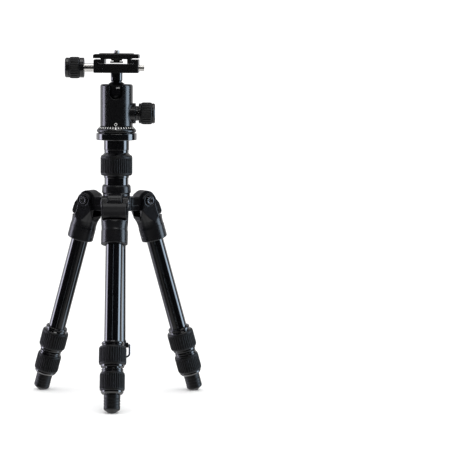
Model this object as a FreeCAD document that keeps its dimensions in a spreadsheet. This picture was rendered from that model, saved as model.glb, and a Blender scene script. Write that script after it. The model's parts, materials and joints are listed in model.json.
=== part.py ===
import FreeCAD, Part
import Sketcher
import math
import os

from FreeCAD import Placement, Rotation, Vector

# A small tripod with a ball head: a stand for a handheld scanner.
# Millimetres. +Z is up, the column stands on the Z axis and the floor is at z = 0.
# The front leg points to -Y, the clamp's knob to -X and the ball's locking knob to +X.

LEG_DIRECTIONS = {"front": -90, "right": 30, "left": 150}

SIZES = {
    # clearances
    "running_gap": 0.1,
    "seat_gap": 0.02,
    "stop_gap": 0.2,
    # legs: heights along a leg are counted down from its hinge
    "leg_tilt": 17.0,
    "hinge_reach": 33.8,
    "hinge_height": 214.35,
    "leg_length": 224.8,
    "socket_radius": 14.2,
    "socket_rim": 44.9,
    "socket_step": 30.2,
    "tube_seat": 24.2,
    "fork_width": 28.4,
    "fork_slot": 15.6,
    "fork_slot_depth": 18.1,
    "fork_foot": 26.2,
    "fork_foot_radius": 13.9,
    "ear_foot_spread": 1.5,
    "fork_shoulder_radius": 20.0,
    "fork_back_reach": 12.2,
    "ear_radius": 7.6,
    "upper_tube_radius": 9.25,
    "upper_tube_bore": 8.35,
    "upper_tube_end": 159.2,
    "tube_groove_width": 1.1,
    "tube_groove_depth": 0.3,
    "middle_tube_radius": 8.1,
    "middle_tube_bore": 7.2,
    "middle_tube_start": 31.2,
    "middle_tube_end": 191.2,
    "lower_tube_radius": 6.9,
    "lower_tube_bore": 6.0,
    "lower_tube_start": 41.2,
    "lower_tube_end": 215.2,
    "upper_collar_top": 149.1,
    "upper_collar_end": 176.2,
    "upper_collar_ring": 12.5,
    "upper_collar_core": 12.9,
    "upper_grip_top": 153.8,
    "upper_grip_end": 173.6,
    "upper_grip_radius": 14.6,
    "lower_collar_top": 177.3,
    "lower_collar_end": 204.3,
    "lower_collar_ring": 11.8,
    "lower_collar_core": 11.4,
    "lower_grip_top": 181.2,
    "lower_grip_end": 201.0,
    "lower_grip_radius": 13.3,
    "leg_grip_ribs": 36,
    "foot_top": 204.6,
    "foot_radius": 8.65,
    "foot_shoulder": 219.8,
    "foot_nose_radius": 2.6,
    # angle tabs
    "tab_width": 24.4,
    "tab_top": 2.2,
    "tab_bottom": 17.9,
    "tab_inside": 5.5,
    "tab_face": 11.5,
    "tab_clearance": 0.3,
    "tab_bar_width": 14.8,
    "tab_bar_thickness": 2.9,
    "tab_bar_reach": 14.5,
    # hinge bolts
    "bolt_sleeve_radius": 3.0,
    "bolt_screw_radius": 1.9,
    "bolt_head_radius": 4.2,
    "bolt_head_outside": 14.9,
    "bolt_head_inside": 12.0,
    "bolt_recess_radius": 4.6,
    "bolt_dish_radius": 6.2,
    "bolt_dish_depth": 0.9,
    "bolt_socket": 2.9,
    "bolt_socket_depth": 1.8,
    # spider
    "hub_radius": 14.6,
    "hub_bottom": 203.0,
    "hub_ring_bottom": 223.3,
    "hub_ring_radius": 15.7,
    "hub_top": 231.8,
    "arm_width": 15.0,
    "arm_bottom": 203.0,
    "arm_top": 218.2,
    "arm_pocket_start": 16.0,
    "arm_pocket_end": 23.0,
    "arm_pocket_bottom": 208.5,
    "arm_pocket_depth": 0.8,
    "tongue_radius": 10.2,
    "tongue_notch_radius": 8.6,
    # column
    "column_radius": 10.25,
    "column_bore": 8.9,
    "column_bottom": 62.0,
    "column_top": 277.0,
    "sleeve_radius": 13.0,
    "sleeve_bottom": 204.0,
    "sleeve_top": 258.0,
    "bush_seat_radius": 11.6,
    "bush_bottom": 240.0,
    "bush_slit": 1.5,
    "lock_ring_bottom": 239.3,
    "lock_ring_radius": 13.8,
    "lock_grip_bottom": 241.8,
    "lock_grip_top": 263.6,
    "lock_core_radius": 15.4,
    "lock_grip_radius": 17.25,
    "lock_grip_ribs": 44,
    "lock_shoulder_top": 266.2,
    "lock_shoulder_radius": 13.0,
    "cap_radius": 11.0,
    "cap_bottom": 54.0,
    "cap_lug_reach": 13.2,
    "bail_height": 57.0,
    "bail_half_width": 14.4,
    "bail_drop": 13.0,
    "bail_wire_radius": 1.1,
    "bail_corner_radius": 4.0,
    # column plate and pan base
    "plate_neck_bottom": 266.4,
    "plate_neck_radius": 13.75,
    "plate_groove_radius": 13.2,
    "plate_groove_top": 269.6,
    "column_plate_bottom": 280.1,
    "column_plate_top": 287.3,
    "column_plate_radius": 21.8,
    "stud_radius": 4.76,
    "stud_bottom": 278.0,
    "stud_top": 295.0,
    "pan_radius": 21.3,
    "pan_waist_radius": 19.7,
    "pan_top": 294.6,
    "pan_cone_radius": 17.9,
    "spigot_radius": 12.0,
    "spigot_top": 303.0,
    # ball head
    "housing_radius": 17.5,
    "housing_bottom": 294.8,
    "housing_top": 339.9,
    "cavity_bottom": 311.5,
    "ball_height": 330.7,
    "ball_radius": 13.0,
    "ball_neck_radius": 4.6,
    "stem_radius": 6.4,
    "stem_neck_bottom": 341.2,
    "stem_neck_top": 344.2,
    "stem_top": 352.0,
    "notch_width": 14.0,
    "cup_radius": 12.9,
    "cup_bottom": 313.6,
    "cup_top": 324.0,
    "lock_height": 308.7,
    "plunger_radius": 4.2,
    "plunger_start": -6.0,
    "plunger_end": 12.0,
    "boss_radius": 11.0,
    "boss_end": 20.7,
    "boss_neck_radius": 7.95,
    "boss_neck_end": 23.6,
    "lock_screw_radius": 3.0,
    "lock_screw_end": 35.0,
    "lock_knob_start": 23.9,
    "lock_knob_grip_start": 26.0,
    "lock_knob_grip_end": 38.6,
    "lock_knob_end": 41.4,
    "lock_knob_flange": 10.8,
    "lock_knob_core": 9.6,
    "lock_knob_grip": 11.95,
    "knob_ribs": 24,
    # clamp
    "clamp_half_width": 23.9,
    "clamp_length": 38.0,
    "clamp_seam": 14.0,
    "clamp_bottom": 352.1,
    "clamp_floor": 361.6,
    "jaw_top": 366.4,
    "clamp_axis_height": 357.4,
    "shaft_radius": 4.5,
    "shaft_start": 24.6,
    "clamp_knob_start": 34.7,
    "clamp_knob_grip_start": 39.2,
    "clamp_knob_grip_end": 50.9,
    "clamp_knob_end": 55.2,
    "clamp_knob_flange": 10.7,
    "clamp_knob_core": 9.4,
    "clamp_knob_grip": 11.7,
    "clamp_thread_radius": 2.7,
    "clamp_thread_end": 6.0,
    "stop_pin_radius": 3.2,
    "stop_pin_start": 8.0,
    "stop_pin_end": 29.7,
    "guide_pin_radius": 1.5,
    "guide_pin_offset": 13.0,
    "guide_pin_start": -21.0,
    "guide_pin_end": -4.0,
    "fixing_screw_radius": 2.5,
    "fixing_head_radius": 5.0,
    "fixing_screw_end": 341.0,
    "fixing_head_top": 361.4,
    # quick plate: the dovetail is the usual 38 mm wide one
    "dovetail_width": 38.0,
    "dovetail_throat": 32.4,
    "dovetail_bottom": 362.0,
    "dovetail_edge": 363.2,
    "dovetail_top": 366.8,
    "pocket_width": 24.0,
    "flange_bottom": 367.7,
    "flange_top": 372.1,
    "flange_width": 48.8,
    "plate_length": 40.0,
    "pad_top": 372.9,
    "pad_border": 1.6,
    "pad_end_border": 6.4,
    "camera_screw_radius": 3.175,
    "camera_screw_top": 376.4,
    "camera_neck_radius": 2.8,
    "camera_head_radius": 6.0,
    "camera_head_bottom": 365.0,
    "camera_boss_bottom": 362.6,
    "ring_height": 363.5,
    "ring_wire_radius": 0.8,
    "ring_half_width": 6.4,
    "ring_turn": 25.0,
}


class Size:
    """A number together with the sheet formula that it comes from."""

    def __init__(self, value, text):
        self.value = value
        self.text = text

    def __add__(self, other):
        other = as_size(other)
        return Size(self.value + other.value, "(%s + %s)" % (self.text, other.text))

    def __sub__(self, other):
        other = as_size(other)
        return Size(self.value - other.value, "(%s - %s)" % (self.text, other.text))

    def __mul__(self, other):
        other = as_size(other)
        return Size(self.value * other.value, "(%s * %s)" % (self.text, other.text))

    def __truediv__(self, other):
        other = as_size(other)
        return Size(self.value / other.value, "(%s / %s)" % (self.text, other.text))

    def __neg__(self):
        return Size(-self.value, "(0 - %s)" % self.text)

    __radd__ = __add__
    __rmul__ = __mul__

    def __rsub__(self, other):
        return as_size(other) - self


def as_size(number):
    """A Size, or a plain number made into one."""
    return number if isinstance(number, Size) else Size(float(number), repr(float(number)))


class Named:
    """The sheet's sizes, each an attribute."""


doc = FreeCAD.newDocument("mini_tripod")
sheet = doc.addObject("Spreadsheet::Sheet", "Dims")
dim = Named()
for row, (alias, number) in enumerate(SIZES.items(), 1):
    sheet.set("A%d" % row, alias.replace("_", " "))
    sheet.set("B%d" % row, str(number))
    sheet.setAlias("B%d" % row, alias)
    setattr(dim, alias, Size(number, "Dims." + alias))
doc.recompute()

parts = []


# ---------------------------------------------------------------- helpers

def bind(thing, **sizes):
    """Bind properties of an object to sizes in the sheet."""
    for name, size in sizes.items():
        thing.setExpression(name, as_size(size).text)


def place(thing, base=(0, 0, 0), rotation=None):
    """Put an object at a base whose coordinates are bound to the sheet."""
    thing.Placement = Placement(Vector(0, 0, 0), rotation or Rotation())
    for axis, size in zip("xyz", base):
        thing.setExpression("Placement.Base." + axis, as_size(size).text)
    return thing


def subpart(thing, label):
    """Name an object as one of the pieces to write out."""
    thing.Label = label
    parts.append(thing)
    return thing


TO_X = Rotation(Vector(0, 1, 0), 90)
TO_MINUS_X = Rotation(Vector(0, 1, 0), -90)
TO_Y = Rotation(Vector(1, 0, 0), -90)


def box(width, depth, height, base):
    """A box from its lowest corner."""
    block = doc.addObject("Part::Box", "Block")
    bind(block, Length=width, Width=depth, Height=height)
    return place(block, base)


def centred_box(width, depth, bottom, top):
    """A box centred on the Z axis between two heights."""
    return box(width, depth, as_size(top) - bottom, (-as_size(width) / 2, -as_size(depth) / 2, bottom))


def cylinder(radius, height, base=(0, 0, 0), rotation=None):
    """A cylinder that starts at base and runs along +Z, or along the rotated Z."""
    rod = doc.addObject("Part::Cylinder", "Rod")
    bind(rod, Radius=radius, Height=height)
    return place(rod, base, rotation)


def cone(low_radius, high_radius, height, base=(0, 0, 0)):
    """A cone on +Z from its lower to its upper radius."""
    taper = doc.addObject("Part::Cone", "Taper")
    bind(taper, Radius1=low_radius, Radius2=high_radius, Height=height)
    return place(taper, base)


def sphere(radius, base):
    """A ball at base."""
    ball = doc.addObject("Part::Sphere", "Ball")
    bind(ball, Radius=radius)
    return place(ball, base)


def hexagon(circumradius, height, base, rotation=None):
    """A hexagonal bar, for sockets."""
    bar = doc.addObject("Part::Prism", "Hexagon")
    bar.Polygon = 6
    bind(bar, Circumradius=circumradius, Height=height)
    return place(bar, base, rotation)


def fuse(*shapes):
    """One solid made of several."""
    whole = doc.addObject("Part::MultiFuse", "Whole")
    whole.Shapes = list(shapes)
    return whole


def cut(base, *tools):
    """A solid with tools taken away from it."""
    rest = doc.addObject("Part::Cut", "Rest")
    rest.Base = base
    rest.Tool = tools[0] if len(tools) == 1 else fuse(*tools)
    return rest


def common(first, second):
    """What two solids share."""
    shared = doc.addObject("Part::MultiCommon", "Shared")
    shared.Shapes = [first, second]
    return shared


def group(*shapes):
    """Separate solids kept together as one piece."""
    together = doc.addObject("Part::Compound", "Group")
    together.Links = list(shapes)
    return together


def origin_plane(body, role):
    """One of a body's own origin planes."""
    return next(plane for plane in body.Origin.OriginFeatures if plane.Role == role)


def outline_sketch(body, role, points):
    """A closed outline of straight lines whose corners are bound to the sheet."""
    sketch = body.newObject("Sketcher::SketchObject", "Outline")
    sketch.AttachmentSupport = [(origin_plane(body, role), "")]
    sketch.MapMode = "FlatFace"
    corners = [(as_size(across), as_size(up)) for across, up in points]
    count = len(corners)
    for index in range(count):
        start = Vector(corners[index][0].value, corners[index][1].value, 0)
        following = corners[(index + 1) % count]
        end = Vector(following[0].value, following[1].value, 0)
        sketch.addGeometry(Part.LineSegment(start, end), False)
    for index in range(count):
        sketch.addConstraint(Sketcher.Constraint("Coincident", index, 2, (index + 1) % count, 1))
    for index, (across, up) in enumerate(corners):
        for kind, size in (("DistanceX", across), ("DistanceY", up)):
            number = sketch.addConstraint(Sketcher.Constraint(kind, -1, 1, index, 1, size.value))
            sketch.setExpression("Constraints[%d]" % number, size.text)
    return sketch


def turned(points):
    """A body turned about Z from an outline of (radius, height) corners."""
    body = doc.addObject("PartDesign::Body", "Turned")
    sketch = outline_sketch(body, "XZ_Plane", points)
    turning = body.newObject("PartDesign::Revolution", "Turning")
    turning.Profile = sketch
    turning.ReferenceAxis = (sketch, ["V_Axis"])
    turning.Angle = 360
    sketch.Visibility = False
    return body


def extruded(role, points, length):
    """A body drawn on an origin plane and padded equally to both sides of it."""
    body = doc.addObject("PartDesign::Body", "Extruded")
    sketch = outline_sketch(body, role, points)
    pad = body.newObject("PartDesign::Pad", "Padding")
    pad.Profile = sketch
    pad.Midplane = True
    bind(pad, Length=length)
    sketch.Visibility = False
    return body


def ribbed(points, radius, ribs):
    """A turned sleeve with grooves between the ribs round its outside."""
    body = turned(points)
    half_pitch = math.pi / ribs.value
    groove = outline_sketch(body, "XY_Plane", [
        (radius - 0.75, radius * (-0.3 * half_pitch)),
        (radius + 1, radius * (-0.75 * half_pitch)),
        (radius + 1, radius * (0.75 * half_pitch)),
        (radius - 0.75, radius * (0.3 * half_pitch)),
    ])
    doc.recompute()
    plain = body.Shape.Volume
    pocket = body.newObject("PartDesign::Pocket", "Groove")
    pocket.Profile = groove
    pocket.Type = "ThroughAll"
    pocket.Midplane = True
    pattern = body.newObject("PartDesign::PolarPattern", "Ribs")
    pattern.Originals = [pocket]
    pattern.Axis = (groove, ["N_Axis"])
    pattern.Angle = 360
    pattern.setExpression("Occurrences", ribs.text)
    body.Tip = pattern
    groove.Visibility = False
    doc.recompute()
    if body.Shape.Volume > 0.99 * plain:
        raise RuntimeError("the grooves of a grip cut nothing")
    return body


def sleeve_outline(inner, outer, low, high, corner):
    """The section of a round sleeve with bevelled outer edges."""
    return [
        (inner, low),
        (outer - corner, low),
        (outer, low + corner),
        (outer, high - corner),
        (outer - corner, high),
        (inner, high),
    ]


def crowned_outline(inner, outer, low, high):
    """The section of a rubber grip: its outside is crowned, with small rounded-off ends."""
    return [
        (inner, low),
        (outer - 1.5, low),
        (outer - 0.55, low + 0.9),
        (outer, low + 3.2),
        (outer, high - 3.2),
        (outer - 0.55, high - 0.9),
        (outer - 1.5, high),
        (inner, high),
    ]


def pipe(inner, outer, low, high):
    """A plain tube along Z."""
    return turned([(inner, low), (outer, low), (outer, high), (inner, high)])


# ---------------------------------------------------------------- legs

def leg_placement(thing, direction):
    """Put a piece drawn about a leg's hinge where that leg is."""
    turn = math.radians(direction)
    thing.Placement = Placement(Vector(0, 0, 0), Rotation(direction, -dim.leg_tilt.value, 0))
    thing.setExpression("Placement.Base.x", (dim.hinge_reach * math.cos(turn)).text)
    thing.setExpression("Placement.Base.y", (dim.hinge_reach * math.sin(turn)).text)
    thing.setExpression("Placement.Base.z", dim.hinge_height.text)
    return thing


def knuckle():
    """The cast fork at a leg's top, with the socket that the upper tube is glued into."""
    socket = turned([
        (0, -dim.socket_rim),
        (dim.socket_radius - 0.6, -dim.socket_rim),
        (dim.socket_radius, 0.6 - dim.socket_rim),
        (dim.socket_radius, -dim.socket_step),
        (dim.fork_foot_radius, 0.5 - dim.socket_step),
        (dim.fork_foot_radius, 2 - dim.fork_foot),
        (0, 2 - dim.fork_foot),
    ])
    ears = fuse(
        cylinder(dim.ear_radius, dim.fork_width, (0, -dim.fork_width / 2, 0), TO_Y),
        extruded("XZ_Plane", [
            (-dim.fork_foot_radius - dim.ear_foot_spread, -dim.fork_foot),
            (dim.fork_foot_radius + dim.ear_foot_spread, -dim.fork_foot),
            (dim.ear_radius, 0),
            (-dim.ear_radius, 0),
            (-dim.fork_back_reach, -dim.ear_radius),
        ], dim.fork_width),
    )
    shoulders = turned([
        (0, -dim.fork_foot),
        (dim.fork_foot_radius, -dim.fork_foot),
        (dim.fork_foot_radius + 0.4, -dim.fork_slot_depth - 4),
        (dim.fork_shoulder_radius, -dim.ear_radius / 2),
        (dim.fork_shoulder_radius, dim.ear_radius + 1),
        (0, dim.ear_radius + 1),
    ])
    slot = centred_box(dim.fork_shoulder_radius * 4, dim.fork_slot, -dim.fork_slot_depth, dim.ear_radius + 2)
    gap = dim.tab_clearance
    tab_room = extruded("XZ_Plane", [
        (dim.tab_inside - gap, 4.7 - dim.tab_bottom),
        (dim.tab_inside + gap, -dim.tab_bottom - gap),
        (dim.tab_inside + 3, -dim.tab_bottom - 2.7),
        (dim.tab_face + 8, -dim.tab_bottom - 2.7),
        (dim.tab_face + 8, 0.6 - dim.tab_top),
        (dim.tab_inside + 2, 0.6 - dim.tab_top),
        (dim.tab_inside + 0.9, -dim.tab_top - 1.1),
        (dim.tab_inside - gap / 2, -dim.tab_top - 2.7),
    ], dim.fork_width + 2)
    bore = cylinder(dim.bolt_sleeve_radius + dim.running_gap / 2, dim.fork_width + 2,
                    (0, -dim.fork_width / 2 - 1, 0), TO_Y)
    recess_floor = dim.bolt_head_inside - dim.running_gap
    dish_floor = dim.fork_width / 2 - dim.bolt_dish_depth
    recesses = []
    for radius, floor in ((dim.bolt_recess_radius, recess_floor), (dim.bolt_dish_radius, dish_floor)):
        recesses.append(cylinder(radius, 10, (0, floor, 0), TO_Y))
        recesses.append(cylinder(radius, 10, (0, -floor - 10, 0), TO_Y))
    seat = cylinder(dim.upper_tube_radius + dim.seat_gap, dim.socket_rim - dim.tube_seat + 1,
                    (0, 0, -dim.socket_rim - 1))
    return cut(fuse(socket, common(ears, shoulders)), slot, tab_room, bore, seat, *recesses)


def angle_tab():
    """The sliding tab that sets a leg's angle: its flat top sits under the tongue's tooth."""
    face = extruded("XZ_Plane", [
        (dim.tab_inside, 4.7 - dim.tab_bottom),
        (dim.tab_inside + 0.8, -dim.tab_bottom),
        (dim.tab_face - 1.5, -dim.tab_bottom),
        (dim.tab_face, 2.3 - dim.tab_bottom),
        (dim.tab_face, -dim.tab_top - 9.8),
        (dim.tab_face - 0.5, -dim.tab_top - 4),
        (dim.tab_face - 2.2, -dim.tab_top),
        (dim.tab_inside + 2.5, -dim.tab_top),
        (dim.tab_inside + 1.2, -dim.tab_top - 1.4),
        (dim.tab_inside + 0.1, -dim.tab_top - 2.8),
    ], dim.tab_width)
    tongue_room = cylinder(dim.tongue_notch_radius + dim.tab_clearance, dim.fork_slot,
                           (0, -dim.fork_slot / 2, 0), TO_Y)
    bar = box(dim.tab_bar_reach + dim.tab_inside + 1, dim.tab_bar_width, dim.tab_bar_thickness,
              (-dim.tab_bar_reach, -dim.tab_bar_width / 2, -dim.tab_bottom))
    return fuse(cut(face, tongue_room), bar)


def upper_tube():
    """A leg's fixed tube, with three shallow keyways along it."""
    tube = pipe(dim.upper_tube_bore, dim.upper_tube_radius, -dim.upper_tube_end, -dim.tube_seat)
    keyways = []
    for turn in (0, 120, 240):
        keyway = box(4, dim.tube_groove_width, dim.upper_tube_end, (0, 0, -dim.upper_tube_end - 1))
        keyway.Placement = Placement(Vector(0, 0, 0), Rotation(Vector(0, 0, 1), turn))
        along = dim.upper_tube_radius - dim.tube_groove_depth
        across = -dim.tube_groove_width / 2
        cosine, sine = math.cos(math.radians(turn)), math.sin(math.radians(turn))
        keyway.setExpression("Placement.Base.x", (along * cosine - across * sine).text)
        keyway.setExpression("Placement.Base.y", (along * sine + across * cosine).text)
        keyway.setExpression("Placement.Base.z", (-dim.upper_tube_end - 1).text)
        keyways.append(keyway)
    return cut(tube, *keyways)


def upper_collar():
    """The twist collar on the upper tube's end, which locks the middle tube."""
    over_upper = dim.upper_tube_radius + dim.running_gap
    over_middle = dim.middle_tube_radius + dim.running_gap
    shelf = -dim.upper_tube_end - 1
    return turned([
        (over_upper, -dim.upper_collar_top),
        (over_upper, shelf),
        (over_middle, shelf - 1),
        (over_middle, -dim.upper_collar_end),
        (dim.upper_collar_ring - 0.6, -dim.upper_collar_end),
        (dim.upper_collar_ring, 0.6 - dim.upper_collar_end),
        (dim.upper_collar_ring, -dim.upper_grip_end),
        (dim.upper_collar_core, -dim.upper_grip_end),
        (dim.upper_collar_core, -dim.upper_grip_top),
        (dim.upper_collar_ring - 0.4, -dim.upper_grip_top),
        (dim.upper_collar_ring - 1.6, 1.4 - dim.upper_grip_top),
        (dim.upper_collar_ring - 0.6, 2.4 - dim.upper_grip_top),
        (dim.upper_collar_ring - 0.6, -dim.upper_collar_top - 0.8),
        (dim.upper_collar_ring - 1.4, -dim.upper_collar_top),
    ])


def lower_collar():
    """The twist collar on the middle tube's end, which locks the lower tube."""
    over_middle = dim.middle_tube_radius + dim.running_gap
    over_lower = dim.lower_tube_radius + dim.running_gap
    shelf = -dim.middle_tube_end - 1
    return turned([
        (over_middle, -dim.lower_collar_top),
        (over_middle, shelf),
        (over_lower, shelf - 1),
        (over_lower, -dim.lower_collar_end),
        (dim.lower_collar_ring - 1.4, -dim.lower_collar_end),
        (dim.lower_collar_ring - 0.4, 1.4 - dim.lower_collar_end),
        (dim.lower_collar_ring, 1.8 - dim.lower_collar_end),
        (dim.lower_collar_ring, -dim.lower_grip_end),
        (dim.lower_collar_core, -dim.lower_grip_end),
        (dim.lower_collar_core, -dim.lower_grip_top),
        (dim.lower_collar_ring, -dim.lower_grip_top),
        (dim.lower_collar_ring, 0.8 - dim.lower_grip_top),
        (dim.lower_collar_ring - 1, 1.4 - dim.lower_grip_top),
        (dim.lower_collar_ring - 0.2, 2.2 - dim.lower_grip_top),
        (dim.lower_collar_ring - 0.2, -dim.lower_collar_top - 0.6),
        (dim.lower_collar_ring - 0.9, -dim.lower_collar_top),
    ])


def leg_grip(core, radius, top, end):
    """The ribbed rubber sleeve of a leg collar."""
    outline = crowned_outline(core + dim.seat_gap, radius, dim.seat_gap - end, -top - dim.seat_gap)
    return ribbed(outline, radius, dim.leg_grip_ribs)


def foot(direction):
    """A rubber foot, whose nose the floor has worn to a small flat."""
    bore = dim.lower_tube_radius + dim.seat_gap
    rubber = leg_placement(turned([
        (bore, -dim.foot_top),
        (dim.foot_radius - 0.5, -dim.foot_top),
        (dim.foot_radius, -dim.foot_top - 0.5),
        (dim.foot_radius, -dim.foot_shoulder),
        (dim.foot_radius - 0.7, -dim.foot_shoulder - 1),
        (dim.foot_nose_radius, 0.3 - dim.leg_length),
        (0, -dim.leg_length),
        (0, -dim.lower_tube_end - 0.1),
        (bore, -dim.lower_tube_end - 0.1),
    ]), direction)
    reach = dim.hinge_reach + dim.leg_length
    floor = box(2 * reach, 2 * reach, 10, (-reach, -reach, -10))
    return cut(rubber, floor)


def leg(name, direction):
    """The ten pieces of one leg."""
    pieces = {
        "knuckle": knuckle(),
        "angle_tab": angle_tab(),
        "upper_tube": upper_tube(),
        "upper_collar": upper_collar(),
        "upper_grip": leg_grip(dim.upper_collar_core, dim.upper_grip_radius,
                               dim.upper_grip_top, dim.upper_grip_end),
        "middle_tube": pipe(dim.middle_tube_bore, dim.middle_tube_radius,
                            -dim.middle_tube_end, -dim.middle_tube_start),
        "lower_collar": lower_collar(),
        "lower_grip": leg_grip(dim.lower_collar_core, dim.lower_grip_radius,
                               dim.lower_grip_top, dim.lower_grip_end),
        "lower_tube": pipe(dim.lower_tube_bore, dim.lower_tube_radius,
                           -dim.lower_tube_end, -dim.lower_tube_start),
    }
    for piece, shape in pieces.items():
        subpart(leg_placement(shape, direction), name + "_" + piece)
    subpart(foot(direction), name + "_foot")


def hinge_bolt(direction):
    """A two-piece hinge bolt: a sleeve nut and a screw, both with hexagon sockets."""
    inside, outside = dim.bolt_head_inside, dim.bolt_head_outside
    head = outside - inside
    sleeve = cut(
        fuse(
            cylinder(dim.bolt_sleeve_radius, 2 * inside, (0, -inside, 0), TO_Y),
            cylinder(dim.bolt_head_radius, head, (0, inside, 0), TO_Y),
        ),
        cylinder(dim.bolt_screw_radius + dim.seat_gap, 2 * inside + 1, (0, -inside - 0.5, 0), TO_Y),
        hexagon(dim.bolt_socket, dim.bolt_socket_depth + 1, (0, outside - dim.bolt_socket_depth, 0), TO_Y),
    )
    screw = cut(
        fuse(
            cylinder(dim.bolt_screw_radius, 2 * inside - 1, (0, -inside - 0.5, 0), TO_Y),
            cylinder(dim.bolt_head_radius, head - dim.seat_gap, (0, -outside, 0), TO_Y),
        ),
        hexagon(dim.bolt_socket, dim.bolt_socket_depth + 1, (0, -outside - 1, 0), TO_Y),
    )
    return [leg_placement(sleeve, direction), leg_placement(screw, direction)]


# ---------------------------------------------------------------- spider

def arm(direction):
    """One arm of the spider, with the tongue that its leg hinges on, in the leg's directions."""
    half = dim.arm_width / 2
    beam = box(dim.hinge_reach, dim.arm_width, dim.arm_top - dim.arm_bottom, (0, -half, dim.arm_bottom))
    tongue = cylinder(dim.tongue_radius, dim.arm_width, (dim.hinge_reach, -half, dim.hinge_height), TO_Y)
    pockets = [
        box(dim.arm_pocket_end - dim.arm_pocket_start, 5, dim.arm_top - 1.2 - dim.arm_pocket_bottom,
            (dim.arm_pocket_start, floor, dim.arm_pocket_bottom))
        for floor in (half - dim.arm_pocket_depth, dim.arm_pocket_depth - half - 5)
    ]
    solid = cut(fuse(beam, tongue), *pockets)
    solid.Placement = Placement(Vector(0, 0, 0), Rotation(direction, 0, 0))
    tooth = dim.stop_gap - dim.tab_top
    relief = cut(
        box(30, dim.arm_width + 4, 30, (0, -half - 2, tooth - 30)),
        cylinder(dim.tongue_notch_radius, dim.arm_width + 6, (0, -half - 3, 0), TO_Y),
    )
    bore = cylinder(dim.bolt_sleeve_radius + dim.running_gap / 2, dim.arm_width + 2,
                    (0, -half - 1, 0), TO_Y)
    return solid, leg_placement(group(relief, bore), direction)


def spider():
    """The casting at the middle: a hub round the column's sleeve and three arms."""
    hub = turned([
        (0, dim.hub_bottom),
        (dim.hub_radius - 1, dim.hub_bottom),
        (dim.hub_radius, dim.hub_bottom + 1),
        (dim.hub_radius, dim.hub_ring_bottom - 0.7),
        (dim.hub_ring_radius, dim.hub_ring_bottom),
        (dim.hub_ring_radius - 0.3, dim.hub_top - 1.6),
        (dim.hub_ring_radius - 1.4, dim.hub_top),
        (0, dim.hub_top),
    ])
    solids, cuts = [hub], []
    for direction in LEG_DIRECTIONS.values():
        solid, cutter = arm(direction)
        solids.append(solid)
        cuts.append(cutter)
    bore = cylinder(dim.sleeve_radius + dim.seat_gap, dim.hub_top, (0, 0, dim.hub_bottom - 10))
    return cut(fuse(*solids), bore, *cuts)


# ---------------------------------------------------------------- column

def column_sleeve():
    """The tube fixed in the hub that guides the column and carries the lock collar."""
    guide = dim.column_radius + dim.running_gap
    return turned([
        (guide, dim.sleeve_bottom),
        (dim.sleeve_radius, dim.sleeve_bottom),
        (dim.sleeve_radius, dim.sleeve_top - 0.6),
        (dim.sleeve_radius - 0.6, dim.sleeve_top),
        (dim.bush_seat_radius, dim.sleeve_top),
        (dim.bush_seat_radius, dim.bush_bottom - dim.seat_gap),
        (guide, dim.bush_bottom - dim.seat_gap),
    ])


def column_lock_bush():
    """The split bush that the lock collar squeezes on the column."""
    ring = pipe(dim.column_radius + dim.running_gap, dim.bush_seat_radius - dim.seat_gap,
                dim.bush_bottom, dim.sleeve_top)
    slit = box(20, dim.bush_slit, 30, (0, -dim.bush_slit / 2, dim.bush_bottom + 3))
    return cut(ring, slit)


def column_lock_collar():
    """The screwed collar under the rubber grip."""
    over_sleeve = dim.sleeve_radius + dim.running_gap
    over_column = dim.column_radius + dim.running_gap
    return turned([
        (over_sleeve, dim.lock_ring_bottom),
        (dim.lock_ring_radius - 0.4, dim.lock_ring_bottom),
        (dim.lock_ring_radius, dim.lock_ring_bottom + 0.4),
        (dim.lock_ring_radius, dim.lock_grip_bottom),
        (dim.lock_core_radius, dim.lock_grip_bottom),
        (dim.lock_core_radius, dim.lock_grip_top),
        (dim.lock_core_radius - 0.4, dim.lock_grip_top + 0.4),
        (dim.lock_shoulder_radius, dim.lock_shoulder_top),
        (over_column, dim.lock_shoulder_top),
        (over_column, dim.sleeve_top + 1.5),
        (over_sleeve, dim.sleeve_top + 0.5),
    ])


def column_plate():
    """The turned plate on the column's top that carries the head."""
    tube_seat = dim.column_radius + dim.seat_gap
    stud_seat = dim.stud_radius + dim.seat_gap
    return turned([
        (tube_seat, dim.plate_neck_bottom),
        (dim.plate_groove_radius, dim.plate_neck_bottom),
        (dim.plate_groove_radius, dim.plate_groove_top - 0.5),
        (dim.plate_neck_radius - 0.5, dim.plate_groove_top - 0.5),
        (dim.plate_neck_radius, dim.plate_groove_top),
        (dim.plate_neck_radius, dim.column_plate_bottom - 0.4),
        (dim.plate_neck_radius + 0.4, dim.column_plate_bottom),
        (dim.column_plate_radius - 0.5, dim.column_plate_bottom),
        (dim.column_plate_radius, dim.column_plate_bottom + 0.5),
        (dim.column_plate_radius, dim.column_plate_top - 0.5),
        (dim.column_plate_radius - 0.5, dim.column_plate_top),
        (stud_seat, dim.column_plate_top),
        (stud_seat, dim.column_top + 0.1),
        (tube_seat, dim.column_top + 0.1),
    ])


def column_cap():
    """The plug in the column's lower end, with lugs for the hook's ends."""
    plug = dim.column_bore - dim.seat_gap
    cap = turned([
        (0, dim.cap_bottom),
        (dim.cap_radius - 2.5, dim.cap_bottom),
        (dim.cap_radius, dim.cap_bottom + 2),
        (dim.cap_radius, dim.column_bottom - dim.seat_gap),
        (plug, dim.column_bottom - dim.seat_gap),
        (plug, dim.column_bottom + 9),
        (0, dim.column_bottom + 9),
    ])
    lugs = box(2 * dim.cap_lug_reach, 5, 5, (-dim.cap_lug_reach, -2.5, dim.bail_height - 2.5))
    bore = cylinder(dim.bail_wire_radius + dim.running_gap, 2 * dim.cap_lug_reach + 2,
                    (-dim.cap_lug_reach - 1, 0, dim.bail_height), TO_X)
    return cut(fuse(cap, lugs), bore)


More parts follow.
